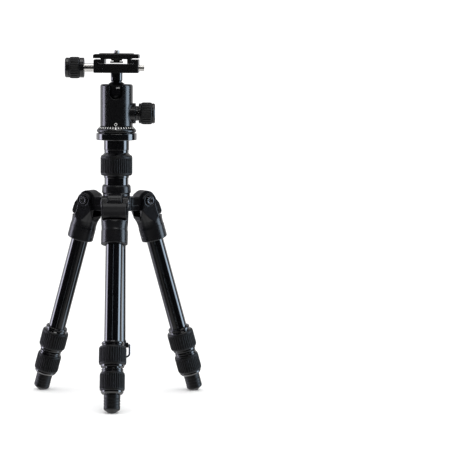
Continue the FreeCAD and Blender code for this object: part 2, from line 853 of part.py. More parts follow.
def column_hook():
    """The wire bail under the column, for a bag of ballast."""
    wire, corner = dim.bail_wire_radius, dim.bail_corner_radius
    side, low = dim.bail_half_width, dim.bail_height - dim.bail_drop
    pin = 5
    pieces = [cylinder(wire, 2 * (side - corner), (corner - side, 0, low), TO_X)]
    for sign, start_turn in ((-1, 180), (1, -90)):
        edge = side * sign
        pieces.append(cylinder(wire, dim.bail_drop - corner, (edge, 0, low + corner)))
        pieces.append(sphere(wire, (edge, 0, dim.bail_height)))
        inward = edge if sign < 0 else edge - pin
        pieces.append(cylinder(wire, pin, (inward, 0, dim.bail_height), TO_X))
        bend = doc.addObject("Part::Torus", "Bend")
        bind(bend, Radius1=corner, Radius2=wire)
        bend.Angle3 = 90
        start = Rotation(Vector(0, 0, 1), start_turn)
        place(bend, ((side - corner) * sign, 0, low + corner), Rotation(Vector(1, 0, 0), 90) * start)
        pieces.append(bend)
    return fuse(*pieces)


# ---------------------------------------------------------------- ball head

def pan_base():
    """The fixed base that the head pans on, with a cone for its degree marks."""
    stud_seat = dim.stud_radius + dim.seat_gap
    bottom = dim.column_plate_top + dim.seat_gap
    return turned([
        (stud_seat, bottom),
        (dim.pan_waist_radius, bottom),
        (dim.pan_waist_radius, bottom + 0.8),
        (dim.pan_radius - 0.6, bottom + 1.2),
        (dim.pan_radius, bottom + 2),
        (dim.pan_radius, bottom + 3.2),
        (dim.pan_radius - 0.7, bottom + 4.2),
        (dim.pan_cone_radius, dim.pan_top),
        (dim.spigot_radius, dim.pan_top),
        (dim.spigot_radius, dim.spigot_top - 0.5),
        (dim.spigot_radius - 0.5, dim.spigot_top),
        (0, dim.spigot_top),
        (0, dim.stud_top + 0.5),
        (stud_seat, dim.stud_top + 0.5),
    ])


def head_housing():
    """The head's body: it holds the ball, and its front notch lets the stem drop level."""
    gap = dim.running_gap
    shell = turned([
        (0, dim.spigot_top + gap),
        (dim.spigot_radius + gap / 2, dim.spigot_top + gap),
        (dim.spigot_radius + gap / 2, dim.housing_bottom),
        (dim.housing_radius - 0.3, dim.housing_bottom),
        (dim.housing_radius, dim.housing_bottom + 0.3),
        (dim.housing_radius, dim.housing_top - 1.8),
        (dim.housing_radius - 0.4, dim.housing_top - 0.9),
        (dim.housing_radius - 1.1, dim.housing_top - 0.25),
        (dim.housing_radius - 2, dim.housing_top),
        (0, dim.housing_top),
    ])
    boss = fuse(
        cylinder(dim.boss_radius, dim.boss_end - 8, (8, 0, dim.lock_height), TO_X),
        cylinder(dim.boss_neck_radius, dim.boss_neck_end - 8, (8, 0, dim.lock_height), TO_X),
    )
    cavity = fuse(
        cylinder(dim.ball_radius + gap, dim.ball_height - dim.cavity_bottom, (0, 0, dim.cavity_bottom)),
        sphere(dim.ball_radius + gap, (0, 0, dim.ball_height)),
    )
    plunger_bore = cylinder(dim.plunger_radius + gap / 2, 21,
                            (dim.plunger_start - 1, 0, dim.lock_height), TO_X)
    screw_bore = cylinder(dim.lock_screw_radius + gap / 2, 30, (0, 0, dim.lock_height), TO_X)
    cup_way = cylinder(4, dim.cavity_bottom - dim.lock_height + 1, (0, 0, dim.lock_height))
    notch = fuse(
        cylinder(dim.notch_width / 2, 30, (0, 0, dim.ball_height), Rotation(Vector(1, 0, 0), 90)),
        box(dim.notch_width, 30, 20, (-dim.notch_width / 2, -30, dim.ball_height)),
    )
    spigot_room = cylinder(dim.spigot_radius + gap / 2, dim.spigot_top + gap - dim.housing_bottom + 5,
                           (0, 0, dim.housing_bottom - 5))
    return cut(fuse(shell, boss), cavity, plunger_bore, screw_bore, cup_way, notch, spigot_room)


def ball_stem():
    """The ball and the stem that carries the clamp."""
    centre = (0, 0, dim.ball_height)
    neck = dim.stem_neck_bottom - dim.ball_height
    solid = fuse(
        sphere(dim.ball_radius, centre),
        cylinder(dim.ball_neck_radius, neck, centre),
        cone(dim.ball_neck_radius, dim.stem_radius, dim.stem_neck_top - dim.stem_neck_bottom,
             (0, 0, dim.stem_neck_bottom)),
        cylinder(dim.stem_radius, dim.stem_top - dim.stem_neck_top, (0, 0, dim.stem_neck_top)),
    )
    hole = cylinder(dim.fixing_screw_radius + dim.seat_gap, 20, (0, 0, dim.fixing_screw_end - 0.5))
    flat = centred_box(30, 30, dim.ball_height - dim.ball_radius - 5, dim.ball_height - dim.ball_radius + 1)
    return cut(solid, hole, flat)


def ball_cup():
    """The cup that the plunger lifts to grip the ball."""
    block = cylinder(dim.cup_radius, dim.cup_top - dim.cup_bottom, (0, 0, dim.cup_bottom))
    hollow = sphere(dim.ball_radius + dim.running_gap, (0, 0, dim.ball_height))
    return cut(block, hollow)


def knob_core(flange, core, start, grip_start, grip_end, end, bore, bore_end):
    """A knob's hard core, turned about Z: two flanges with a seat for the rubber between them."""
    return turned([
        (bore, start),
        (flange - 0.5, start),
        (flange, start + 0.5),
        (flange, grip_start),
        (core, grip_start),
        (core, grip_end),
        (flange, grip_end),
        (flange, end - 1),
        (flange - 1, end),
        (0, end),
        (0, bore_end),
        (bore, bore_end),
    ])


def knob_grip(core, radius, start, end):
    """A knob's ribbed rubber sleeve, along Z."""
    inner = core + dim.seat_gap
    outline = sleeve_outline(inner, radius, start + dim.seat_gap, end - dim.seat_gap, 0.6)
    return ribbed(outline, radius, dim.knob_ribs)


def ball_lock():
    """The plunger, screw and knob that lock the ball, on a line along X."""
    line = (0, 0, dim.lock_height)
    plunger = fuse(
        cylinder(dim.plunger_radius, dim.plunger_end - dim.plunger_start - 2,
                 (dim.plunger_start + 2, 0, dim.lock_height), TO_X),
        cylinder(dim.plunger_radius - 1.4, 3, (dim.plunger_start, 0, dim.lock_height), TO_X),
    )
    subpart(plunger, "lock_plunger")
    screw = cylinder(dim.lock_screw_radius, dim.lock_screw_end - dim.plunger_end - dim.stop_gap,
                     (dim.plunger_end + dim.stop_gap, 0, dim.lock_height), TO_X)
    subpart(screw, "lock_screw")
    core = knob_core(dim.lock_knob_flange, dim.lock_knob_core, dim.lock_knob_start,
                     dim.lock_knob_grip_start, dim.lock_knob_grip_end, dim.lock_knob_end,
                     dim.lock_screw_radius + dim.seat_gap, dim.lock_screw_end + 0.1)
    subpart(place(core, line, TO_X), "lock_knob")
    grip = knob_grip(dim.lock_knob_core, dim.lock_knob_grip, dim.lock_knob_grip_start, dim.lock_knob_grip_end)
    subpart(place(grip, line, TO_X), "lock_knob_grip")


# ---------------------------------------------------------------- clamp

def clamp_base():
    """The clamp's fixed half, with the jaw on the knob's far side."""
    half = dim.clamp_length / 2
    seam = dim.clamp_seam - dim.stop_gap / 2
    edge = dim.dovetail_width / 2 + dim.stop_gap
    throat = dim.dovetail_throat / 2 + dim.stop_gap
    block = extruded("XZ_Plane", [
        (-seam, dim.clamp_bottom),
        (dim.clamp_half_width - 0.6, dim.clamp_bottom),
        (dim.clamp_half_width, dim.clamp_bottom + 0.6),
        (dim.clamp_half_width, dim.jaw_top - 0.5),
        (dim.clamp_half_width - 0.5, dim.jaw_top),
        (throat, dim.jaw_top),
        (edge, dim.dovetail_edge + 0.2),
        (edge, dim.clamp_floor),
        (-seam, dim.clamp_floor),
    ], dim.clamp_length)
    bolt = cylinder(dim.clamp_thread_radius + dim.running_gap / 2, 40,
                    (0.5 - dim.clamp_thread_end - 40, 0, dim.clamp_axis_height), TO_X)
    stop = cylinder(dim.stop_pin_radius + dim.seat_gap, 40,
                    (dim.stop_pin_start - 0.1, 0, dim.clamp_axis_height), TO_X)
    guides = [
        cylinder(dim.guide_pin_radius + dim.seat_gap, dim.clamp_seam + dim.guide_pin_end + 1,
                 (-dim.clamp_seam - 1, dim.guide_pin_offset * side, dim.clamp_axis_height), TO_X)
        for side in (-1, 1)
    ]
    screw = cylinder(dim.fixing_screw_radius + dim.seat_gap, 20, (0, 0, dim.clamp_bottom - 5))
    sink_depth = dim.fixing_head_radius - dim.fixing_screw_radius
    around = dim.running_gap / 2
    sink = cone(dim.fixing_screw_radius + around, dim.fixing_head_radius + around + 0.5,
                sink_depth + 0.5, (0, 0, dim.fixing_head_top - sink_depth))
    return cut(block, bolt, stop, screw, sink, *guides)


def clamp_jaw():
    """The clamp's sliding jaw, on the knob's side."""
    seam = dim.clamp_seam + dim.stop_gap / 2
    edge = dim.dovetail_width / 2 + dim.stop_gap
    throat = dim.dovetail_throat / 2 + dim.stop_gap
    block = extruded("XZ_Plane", [
        (-seam, dim.clamp_bottom),
        (-seam, dim.clamp_floor),
        (-edge, dim.clamp_floor),
        (-edge, dim.dovetail_edge + 0.2),
        (-throat, dim.jaw_top),
        (0.5 - dim.clamp_half_width, dim.jaw_top),
        (-dim.clamp_half_width, dim.jaw_top - 0.5),
        (-dim.clamp_half_width, dim.clamp_bottom + 0.6),
        (0.6 - dim.clamp_half_width, dim.clamp_bottom),
    ], dim.clamp_length)
    reach = dim.clamp_half_width + 2
    bolt = cylinder(dim.clamp_thread_radius + dim.running_gap / 2, reach,
                    (-reach, 0, dim.clamp_axis_height), TO_X)
    guides = [
        cylinder(dim.guide_pin_radius + dim.running_gap / 2, dim.clamp_half_width - 2,
                 (2 - dim.clamp_half_width, dim.guide_pin_offset * side, dim.clamp_axis_height), TO_X)
        for side in (-1, 1)
    ]
    return cut(block, bolt, *guides)


def clamp_pins():
    """The three steel pins in the clamp's base: two guide the jaw, one is the plate's stop."""
    guides = [
        cylinder(dim.guide_pin_radius, dim.guide_pin_end - dim.guide_pin_start,
                 (dim.guide_pin_start, dim.guide_pin_offset * side, dim.clamp_axis_height), TO_X)
        for side in (-1, 1)
    ]
    stop = cylinder(dim.stop_pin_radius, dim.stop_pin_end - dim.stop_pin_start,
                    (dim.stop_pin_start, 0, dim.clamp_axis_height), TO_X)
    return group(stop, *guides)


def clamp_screw():
    """The clamp's bolt: a polished shaft and the thread that draws the jaw in."""
    line = dim.clamp_axis_height
    shaft = cylinder(dim.shaft_radius, dim.clamp_knob_start + 6 - dim.shaft_start,
                     (-dim.clamp_knob_start - 6, 0, line), TO_X)
    thread = cylinder(dim.clamp_thread_radius, dim.shaft_start - dim.clamp_thread_end + 1,
                      (-dim.shaft_start - 1, 0, line), TO_X)
    return fuse(shaft, thread)


def clamp_knob():
    """The clamp's knob and its rubber sleeve."""
    line = (0, 0, dim.clamp_axis_height)
    core = knob_core(dim.clamp_knob_flange, dim.clamp_knob_core, dim.clamp_knob_start,
                     dim.clamp_knob_grip_start, dim.clamp_knob_grip_end, dim.clamp_knob_end,
                     dim.shaft_radius + dim.seat_gap, dim.clamp_knob_start + 6.1)
    subpart(place(core, line, TO_MINUS_X), "clamp_knob")
    grip = knob_grip(dim.clamp_knob_core, dim.clamp_knob_grip,
                     dim.clamp_knob_grip_start, dim.clamp_knob_grip_end)
    subpart(place(grip, line, TO_MINUS_X), "clamp_knob_grip")


def clamp_fixing_screw():
    """The countersunk screw that holds the clamp on the ball's stem."""
    sink = dim.fixing_head_radius - dim.fixing_screw_radius
    shank_top = dim.fixing_head_top - sink
    solid = fuse(
        cylinder(dim.fixing_screw_radius, shank_top - dim.fixing_screw_end, (0, 0, dim.fixing_screw_end)),
        cone(dim.fixing_screw_radius, dim.fixing_head_radius, sink, (0, 0, shank_top)),
    )
    return cut(solid, hexagon(1.7, 5, (0, 0, dim.fixing_head_top - 2)))


# ---------------------------------------------------------------- quick plate

def quick_plate():
    """The dovetail plate, with a pocket under it for the screw's head."""
    half = dim.dovetail_width / 2
    throat = dim.dovetail_throat / 2
    pocket = dim.pocket_width / 2
    wing = dim.flange_width / 2
    block = extruded("XZ_Plane", [
        (-half, dim.dovetail_bottom),
        (-pocket, dim.dovetail_bottom),
        (-pocket, dim.dovetail_top),
        (pocket, dim.dovetail_top),
        (pocket, dim.dovetail_bottom),
        (half, dim.dovetail_bottom),
        (half, dim.dovetail_edge),
        (throat, dim.jaw_top),
        (throat, dim.flange_bottom),
        (wing - 0.4, dim.flange_bottom),
        (wing, dim.flange_bottom + 0.4),
        (wing, dim.flange_top - 1.4),
        (wing - 0.5, dim.flange_top - 0.5),
        (wing - 1.4, dim.flange_top),
        (1.4 - wing, dim.flange_top),
        (0.5 - wing, dim.flange_top - 0.5),
        (-wing, dim.flange_top - 1.4),
        (-wing, dim.flange_bottom + 0.4),
        (0.4 - wing, dim.flange_bottom),
        (-throat, dim.flange_bottom),
        (-throat, dim.jaw_top),
        (-half, dim.dovetail_edge),
    ], dim.plate_length)
    hole = cylinder(dim.camera_screw_radius + dim.running_gap, 20, (0, 0, dim.dovetail_bottom))
    return cut(block, hole)


def plate_pad():
    """The thin rubber pad on the plate."""
    width = dim.flange_width - 2 * dim.pad_end_border
    length = dim.plate_length - 2 * dim.pad_border
    pad = centred_box(width, length, dim.flange_top, dim.pad_top)
    return cut(pad, cylinder(dim.camera_screw_radius + 1.2, 5, (0, 0, dim.flange_top - 2)))


def camera_screw():
    """The 1/4 inch screw that stands out of the plate."""
    solid = fuse(
        cylinder(dim.camera_neck_radius, dim.pad_top - dim.camera_head_bottom,
                 (0, 0, dim.camera_head_bottom)),
        cylinder(dim.camera_screw_radius, dim.camera_screw_top - dim.pad_top - 0.5, (0, 0, dim.pad_top)),
        cone(dim.camera_screw_radius, dim.camera_screw_radius - 0.5, 0.5, (0, 0, dim.camera_screw_top - 0.5)),
        cylinder(dim.camera_head_radius, dim.dovetail_top - dim.running_gap - dim.camera_head_bottom,
                 (0, 0, dim.camera_head_bottom)),
        cylinder(3.4, dim.camera_head_bottom - dim.camera_boss_bottom, (0, 0, dim.camera_boss_bottom)),
    )
    way = group(cylinder(dim.ring_wire_radius + 1.5 * dim.running_gap, 12, (-6, 0, dim.ring_height), TO_X))
    way.Placement = Placement(Vector(0, 0, 0), Rotation(Vector(0, 0, 1), dim.ring_turn.value))
    return cut(solid, way)


def screw_d_ring():
    """The folding ring that turns the camera screw by hand."""
    wire, half = dim.ring_wire_radius, dim.ring_half_width
    hinge = wire + dim.running_gap
    straight = cylinder(hinge, 2 * (half + wire), (-half - wire, 0, 0), TO_X)
    bow = doc.addObject("Part::Torus", "Bow")
    bind(bow, Radius1=half, Radius2=wire)
    bow.Angle3 = 180
    ring = fuse(straight, bow)
    return place(ring, (0, 0, dim.ring_height), Rotation(Vector(0, 0, 1), dim.ring_turn.value))


# ---------------------------------------------------------------- assembly

bolts = []
for leg_name, leg_direction in LEG_DIRECTIONS.items():
    leg(leg_name, leg_direction)
    bolts += hinge_bolt(leg_direction)
subpart(group(*bolts), "hinge_bolts")
subpart(spider(), "spider")

subpart(column_sleeve(), "column_sleeve")
subpart(column_lock_bush(), "column_lock_bush")
subpart(column_lock_collar(), "column_lock_collar")
subpart(ribbed(
    crowned_outline(dim.lock_core_radius + dim.seat_gap, dim.lock_grip_radius,
                    dim.lock_grip_bottom + dim.seat_gap, dim.lock_grip_top - dim.seat_gap),
    dim.lock_grip_radius, dim.lock_grip_ribs), "column_lock_grip")
subpart(pipe(dim.column_bore, dim.column_radius, dim.column_bottom, dim.column_top), "column_tube")
subpart(column_plate(), "column_plate")
subpart(column_cap(), "column_cap")
subpart(column_hook(), "column_hook")
subpart(cylinder(dim.stud_radius, dim.stud_top - dim.stud_bottom, (0, 0, dim.stud_bottom)), "head_stud")

subpart(pan_base(), "pan_base")
subpart(head_housing(), "head_housing")
subpart(ball_cup(), "ball_cup")
ball_lock()
subpart(ball_stem(), "ball_stem")

subpart(clamp_base(), "clamp_base")
subpart(clamp_pins(), "clamp_pins")
subpart(clamp_fixing_screw(), "clamp_fixing_screw")
subpart(clamp_jaw(), "clamp_jaw")
subpart(clamp_screw(), "clamp_screw")
clamp_knob()
subpart(quick_plate(), "quick_plate")
subpart(plate_pad(), "plate_pad")
subpart(camera_screw(), "camera_screw")
subpart(screw_d_ring(), "screw_d_ring")

doc.recompute()
for thing in doc.Objects:
    if "Invalid" in thing.State or "Error" in thing.State:
        raise RuntimeError("%s (%s) failed: %s" % (thing.Name, thing.Label, thing.State))
for thing in parts:
    if thing.Shape.isNull() or not thing.Shape.isValid():
        raise RuntimeError("%s has no valid shape" % thing.Label)

os.makedirs("parts", exist_ok=True)
for thing in parts:
    thing.Shape.exportStep("parts/%s.step" % thing.Label)
print("%d pieces written" % len(parts))
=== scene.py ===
"""Looks of a mini tripod with a ball head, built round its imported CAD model.

Metres, +Z up, the front leg towards -Y. Lengths given in millimetres are multiplied by MM.
"""
import json
import math

import bmesh
import bpy
from mathutils import Matrix, Vector


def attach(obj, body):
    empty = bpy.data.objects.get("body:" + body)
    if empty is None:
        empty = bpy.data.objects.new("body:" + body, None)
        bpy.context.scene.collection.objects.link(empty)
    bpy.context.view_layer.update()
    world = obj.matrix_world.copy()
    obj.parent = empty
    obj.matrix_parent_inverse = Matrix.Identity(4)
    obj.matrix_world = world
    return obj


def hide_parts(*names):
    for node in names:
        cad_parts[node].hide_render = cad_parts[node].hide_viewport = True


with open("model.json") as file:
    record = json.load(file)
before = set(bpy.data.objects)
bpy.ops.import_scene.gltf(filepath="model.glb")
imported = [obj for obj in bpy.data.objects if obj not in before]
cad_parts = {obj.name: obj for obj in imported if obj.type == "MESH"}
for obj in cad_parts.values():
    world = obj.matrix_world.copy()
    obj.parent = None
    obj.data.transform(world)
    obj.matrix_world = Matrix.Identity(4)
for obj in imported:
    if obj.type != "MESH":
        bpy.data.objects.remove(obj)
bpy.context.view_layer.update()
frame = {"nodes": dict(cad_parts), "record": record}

MM = 0.001
COARSE = 1
LEGS = ("front", "right", "left")
BODY_OF = {node: body for body, nodes in frame["record"]["behaviour"]["bodies"].items() for node in nodes}
SLOT_OF = {entry["node"]: entry["material_slot"] for entry in frame["record"]["subparts"]}


# ---------------------------------------------------------------- camera

# Where the camera stands: degrees to the right of the front, metres from the axis and above the floor.
CAMERA_AZIMUTH = 2.5815
CAMERA_DISTANCE = 2.2567
CAMERA_HEIGHT = 0.3951

# Where it looks, in degrees: to the left of the axis (so below zero is to the right), down, and rolled.
CAMERA_TURN = -2.9817
CAMERA_DOWN = 5.2332
CAMERA_ROLL = 0.3595

# The lens and the sensor's width, in millimetres as Blender counts them.
CAMERA_LENS = 167.52
CAMERA_SENSOR = 36


def make_camera():
    """The camera, with a long lens, a little to the right of the front and just above the head."""
    azimuth = math.radians(CAMERA_AZIMUTH)
    turn = math.radians(CAMERA_TURN)
    down = math.radians(CAMERA_DOWN)
    roll = math.radians(CAMERA_ROLL)
    data = bpy.data.cameras.new("camera")
    data.sensor_width = CAMERA_SENSOR
    data.lens = CAMERA_LENS
    data.clip_start = 0.05
    data.clip_end = 50
    camera = bpy.data.objects.new("camera", data)
    bpy.context.collection.objects.link(camera)
    camera.location = (
        math.sin(azimuth) * CAMERA_DISTANCE,
        -math.cos(azimuth) * CAMERA_DISTANCE,
        CAMERA_HEIGHT,
    )
    look = Matrix.Rotation(azimuth + turn, 4, "Z") @ Matrix.Rotation(math.pi / 2 - down, 4, "X")
    camera.matrix_world = Matrix.Translation(camera.location) @ look @ Matrix.Rotation(roll, 4, "Z")
    bpy.context.scene.camera = camera


# ---------------------------------------------------------------- shader nodes

def noise(tree, place, scale, detail):
    """The value of a noise texture with this many cells to the metre."""
    texture = tree.nodes.new("ShaderNodeTexNoise")
    texture.inputs["Scale"].default_value = scale
    texture.inputs["Detail"].default_value = detail
    tree.links.new(place, texture.inputs["Vector"])
    return texture.outputs["Fac"]


def mapped(tree, value, start, end, low=0, high=1):
    """A value that goes from low to high while another goes from start to end."""
    node = tree.nodes.new("ShaderNodeMapRange")
    node.inputs["From Min"].default_value = start
    node.inputs["From Max"].default_value = end
    node.inputs["To Min"].default_value = low
    node.inputs["To Max"].default_value = high
    tree.links.new(value, node.inputs["Value"])
    return node.outputs["Result"]


# ---------------------------------------------------------------- materials

# The mottling's largest patches are a sixtieth of a metre wide, and the grain is at most 0.1 mm deep.
PATCH_SCALE = 60
PATCH_DETAIL = 6
GRAIN_DETAIL = 3
GRAIN_DEPTH = 0.0001
COAT_ROUGHNESS = 0.05
SMOOTHEST = 0.02


def material(name, color, rough, metal=0.0, coat=0.0, gloss=0.5, spread=0.0, grain=0.0, grain_size=0.0004,
             mottle=0.25):
    """A procedural surface: mottled colour, uneven roughness and a fine bump, at their real sizes."""
    made = bpy.data.materials.new(name)
    made.use_nodes = True
    tree = made.node_tree
    shader = tree.nodes["Principled BSDF"]
    shader.inputs["Metallic"].default_value = metal
    shader.inputs["Coat Weight"].default_value = coat
    shader.inputs["Coat Roughness"].default_value = COAT_ROUGHNESS
    shader.inputs["Specular IOR Level"].default_value = gloss
    place = tree.nodes.new("ShaderNodeTexCoord").outputs["Object"]
    patches = noise(tree, place, PATCH_SCALE, PATCH_DETAIL)
    shade = tree.nodes.new("ShaderNodeVectorMath")
    shade.operation = "SCALE"
    shade.inputs[0].default_value = color
    tree.links.new(mapped(tree, patches, 0, 1, 1 - mottle, 1 + mottle), shade.inputs["Scale"])
    tree.links.new(shade.outputs["Vector"], shader.inputs["Base Color"])
    uneven = mapped(tree, patches, 0, 1, max(rough - spread, SMOOTHEST), rough + spread)
    tree.links.new(uneven, shader.inputs["Roughness"])
    if grain:
        bump = tree.nodes.new("ShaderNodeBump")
        bump.inputs["Strength"].default_value = grain
        bump.inputs["Distance"].default_value = GRAIN_DEPTH
        tree.links.new(noise(tree, place, 1 / grain_size, GRAIN_DETAIL), bump.inputs["Height"])
        tree.links.new(bump.outputs["Normal"], shader.inputs["Normal"])
    return made


BLACK = (0.0012, 0.0012, 0.0016)

ANODISED = material("anodised", BLACK, 0.12, coat=1.0, spread=0.03, grain=0.01)
SATIN = material("satin", BLACK, 0.26, coat=0.2, gloss=0.6, spread=0.02, grain=0.003)
CAST = material("cast", (0.003, 0.003, 0.004), 0.28, spread=0.04, grain=0.1, grain_size=0.0005)
RUBBER = material(
    "rubber", (0.0025, 0.0025, 0.003), 0.43, gloss=0.4, spread=0.06, grain=0.3, grain_size=0.0003)
PLASTIC = material("plastic", (0.005, 0.005, 0.006), 0.3, gloss=0.45, spread=0.05, grain=0.15)
STEEL = material("steel", (0.80, 0.78, 0.75), 0.16, metal=1.0, spread=0.05, mottle=0.06)
DARK_STEEL = material("dark_steel", (0.24, 0.24, 0.25), 0.25, metal=1.0, spread=0.08)
BRASS = material("brass", (0.72, 0.55, 0.27), 0.3, metal=1.0, spread=0.05)
ACETAL = material("acetal", (0.75, 0.75, 0.73), 0.4, spread=0.05)
PRINT = material("print", (0.85, 0.85, 0.83), 0.5, spread=0.05, mottle=0.12)

SLOT_MATERIALS = {
    "anodised_black": ANODISED,
    "cast_black": CAST,
    "rubber_black": RUBBER,
    "foot_rubber": RUBBER,
    "black_plastic": PLASTIC,
    "polished_steel": STEEL,
    "dark_steel": DARK_STEEL,
    "brass": BRASS,
    "white_acetal": ACETAL,
}

# Nodes whose finish differs from that of their slot.
OWN_MATERIALS = {
    "head_housing": SATIN,
    "pan_base": SATIN,
    "lock_knob": SATIN,
    "clamp_knob": SATIN,
    "clamp_base": SATIN,
    "clamp_jaw": SATIN,
    "quick_plate": SATIN,
    "column_hook": DARK_STEEL,
}


def surface_of(node):
    """The material of a CAD node."""
    return OWN_MATERIALS.get(node, SLOT_MATERIALS[SLOT_OF[node]])


def dress_nodes():
    """Give every CAD node its material."""
    for node, thing in frame["nodes"].items():
        thing.data.materials.clear()
        thing.data.materials.append(surface_of(node))


# ---------------------------------------------------------------- places in the frame

def joint(name):
    """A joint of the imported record, by name."""
    return next(entry for entry in frame["record"]["behaviour"]["joints"] if entry["name"] == name)


def axes(origin, x, y, z):
    """A matrix from an origin and three directions."""
    return Matrix.Translation(origin) @ Matrix((x, y, z)).transposed().to_4x4()


def leg_axes(leg):
    """A leg's own axes: the hinge at the origin, X outward, Z up along the leg."""
    fold = joint(leg + "_leg_fold")
    up = -Vector(joint(leg + "_middle_extend")["axis"])
    across = Vector(fold["axis"])
    return axes(fold["pos_m"], across.cross(up), across, up)


def line_axes(name):
    """The axes of a knob: Z outward along its own line, from the object's middle."""
    entry = joint(name)
    z = Vector(entry["axis"])
    y = Vector((0, 1, 0))
    return axes((0, 0, entry["pos_m"][2]), y.cross(z), y, z)


UPRIGHT = Matrix.Identity(4)
LOCK_LINE = line_axes("ball_lock_turn")
CLAMP_LINE = line_axes("clamp_knob_turn")


def span(node, matrix):
    """A node's smallest and largest radius, and lowest and highest point, about a matrix's Z axis."""
    inverse = matrix.inverted()
    points = [inverse @ vertex.co for vertex in frame["nodes"][node].data.vertices]
    radii = [math.hypot(point.x, point.y) for point in points]
    heights = [point.z for point in points]
    return min(radii), max(radii), min(heights), max(heights)


# ---------------------------------------------------------------- pieces

def add_piece(name, mesh, node, surface=None, replaces=True):
    """Make an object of a mesh, dress it like a CAD node, let it ride with that node and stand for it."""
    thing = bpy.data.objects.new(name, mesh)
    bpy.context.collection.objects.link(thing)
    mesh.materials.clear()
    mesh.materials.append(surface or surface_of(node))
    for face in mesh.polygons:
        face.use_smooth = True
    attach(thing, BODY_OF[node])
    if replaces:
        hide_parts(node)
    return thing


def weight_normals(thing):
    """Let large faces keep flat shading next to the small ones of a rounded edge."""
    modifier = thing.modifiers.new("normals", "WEIGHTED_NORMAL")
    modifier.weight = 100
    modifier.keep_sharp = True


def turn_outward(mesh):
    """Turn the faces of a closed mesh outward."""
    build = bmesh.new()
    build.from_mesh(mesh)
    bmesh.ops.recalc_face_normals(build, faces=build.faces)
    build.to_mesh(mesh)
    build.free()


# ---------------------------------------------------------------- turned pieces

# An outline is a list of corners, each a vector of radius and height. A radius below this is on the axis.
ON_AXIS = 1e-6

# An edge that is to be rounded by less than this stays sharp.
SHARP = 1e-5

# Corners of a CAD outline that are nearer to each other than this are one corner.
SAME_CORNER = 4e-5

# Fine pieces that reach the CAD model's outer faces stay this far inside them, in millimetres.
INSET = 0.04

# The radii that round the edges of turned pieces, in millimetres.
TUBE_EDGE = 0.25
COLLAR_EDGE = 0.35
KNOB_EDGE = 0.4
FOOT_EDGE = 0.4
SCREW_EDGE = 0.25
GRUB_SCREW_EDGE = 0.08

# The number of points round a turned piece.
TURNS = 144
COLUMN_TURNS = 192
KEYED_TUBE_TURNS = 360
FOOT_TURNS = 120
SCREW_TURNS = 72
GRUB_SCREW_TURNS = 24


def rounded(corners, radius, steps=3):
    """A closed outline with each corner off the axis rounded by a short curve."""
    outline = []
    count = len(corners)
    for index, here in enumerate(corners):
        before = corners[index - 1]
        after = corners[(index + 1) % count]
        reach = min(radius, 0.4 * (before - here).length, 0.4 * (after - here).length)
        if here.x < ON_AXIS or reach < SHARP:
            outline.append(here)
            continue
        start = here + (before - here).normalized() * reach
        end = here + (after - here).normalized() * reach
        for step in range(steps + 1):
            share = step / steps
            outline.append(start.lerp(here, share).lerp(here.lerp(end, share), share))
    return outline


def divided(outline, step):
    """The same outline with long sides cut into shorter ones."""
    points = []
    for index, here in enumerate(outline):
        after = outline[(index + 1) % len(outline)]
        pieces = max(1, math.ceil((after - here).length / step))
        points += [here.lerp(after, number / pieces) for number in range(pieces)]
    return points


def ring_faces(ring, following, turns):
    """The faces between two rings of points, either of which may be a single point on the axis."""
    faces = []
    for turn in range(turns):
        after = (turn + 1) % turns
        if len(ring) > 1 and len(following) > 1:
            faces.append((ring[turn], ring[after], following[after], following[turn]))
        elif len(ring) > 1:
            faces.append((ring[turn], ring[after], following[0]))
        elif len(following) > 1:
            faces.append((ring[0], following[after], following[turn]))
    return faces


def lathe(outline, matrix, turns, relief=None):
    """A closed mesh turned about the matrix's Z axis, cut in by relief(angle, radius, height)."""
    points = []
    rings = []
    for corner in outline:
        on_axis = corner.x < ON_AXIS
        ring = []
        for turn in range(1 if on_axis else turns):
            angle = 2 * math.pi * turn / turns
            radius = corner.x - (relief(angle, corner.x, corner.y) if relief and not on_axis else 0)
            ring.append(len(points))
            points.append(matrix @ Vector((radius * math.cos(angle), radius * math.sin(angle), corner.y)))
        rings.append(ring)
    faces = []
    for index, ring in enumerate(rings):
        faces += ring_faces(ring, rings[(index + 1) % len(rings)], turns)
    mesh = bpy.data.meshes.new("lathe")
    mesh.from_pydata(points, [], faces)
    turn_outward(mesh)
    return mesh


def section(node, matrix):
    """The outline of a CAD node that is turned about the matrix's Z axis."""
    inverse = matrix.inverted()
    data = frame["nodes"][node].data
    corners = []
    key_of = []
    for vertex in data.vertices:
        point = inverse @ vertex.co
        flat = Vector((math.hypot(point.x, point.y), point.z))
        matches = (number for number, corner in enumerate(corners) if (corner - flat).length < SAME_CORNER)
        key = next(matches, None)
        if key is None:
            key = len(corners)
            corners.append(flat)
        key_of.append(key)
    near = {key: set() for key in range(len(corners))}
    for edge in data.edges:
        first, second = (key_of[index] for index in edge.vertices)
        if first != second:
            near[first].add(second)
            near[second].add(first)
    ends = [key for key in near if len(near[key]) == 1]
    path = [ends[0] if ends else 0]
    while True:
        onward = [key for key in near[path[-1]] if key not in path]
        if not onward:
            break
        path.append(onward[0])
    outline = [corners[key] for key in path]
    if ends:
        outline = [Vector((0, outline[0].y))] + outline + [Vector((0, outline[-1].y))]
    return outline


def turned(node, matrix, radius, turns=TURNS):
    """Stand in for a turned CAD node with one whose edges are rounded by a radius in millimetres."""
    mesh = lathe(rounded(section(node, matrix), radius * MM), matrix, turns)
    weight_normals(add_piece(node + "_fine", mesh, node))


def smoothstep(low, high, value):
    """0 below low, 1 above high, and smooth between."""
    share = min(max((value - low) / (high - low), 0), 1)
    return share * share * (3 - 2 * share)


# How a grip's end falls away, in millimetres: depth below its rim and distance from the end.
GRIP_END = ((1.5, 0), (0.5, 0.8), (0, 2.6))
GRIP_ROUND = 0.7
GRIP_STEP = 0.45
GRIP_FADE = 0.9
TURNS_TO_A_RIB = 10


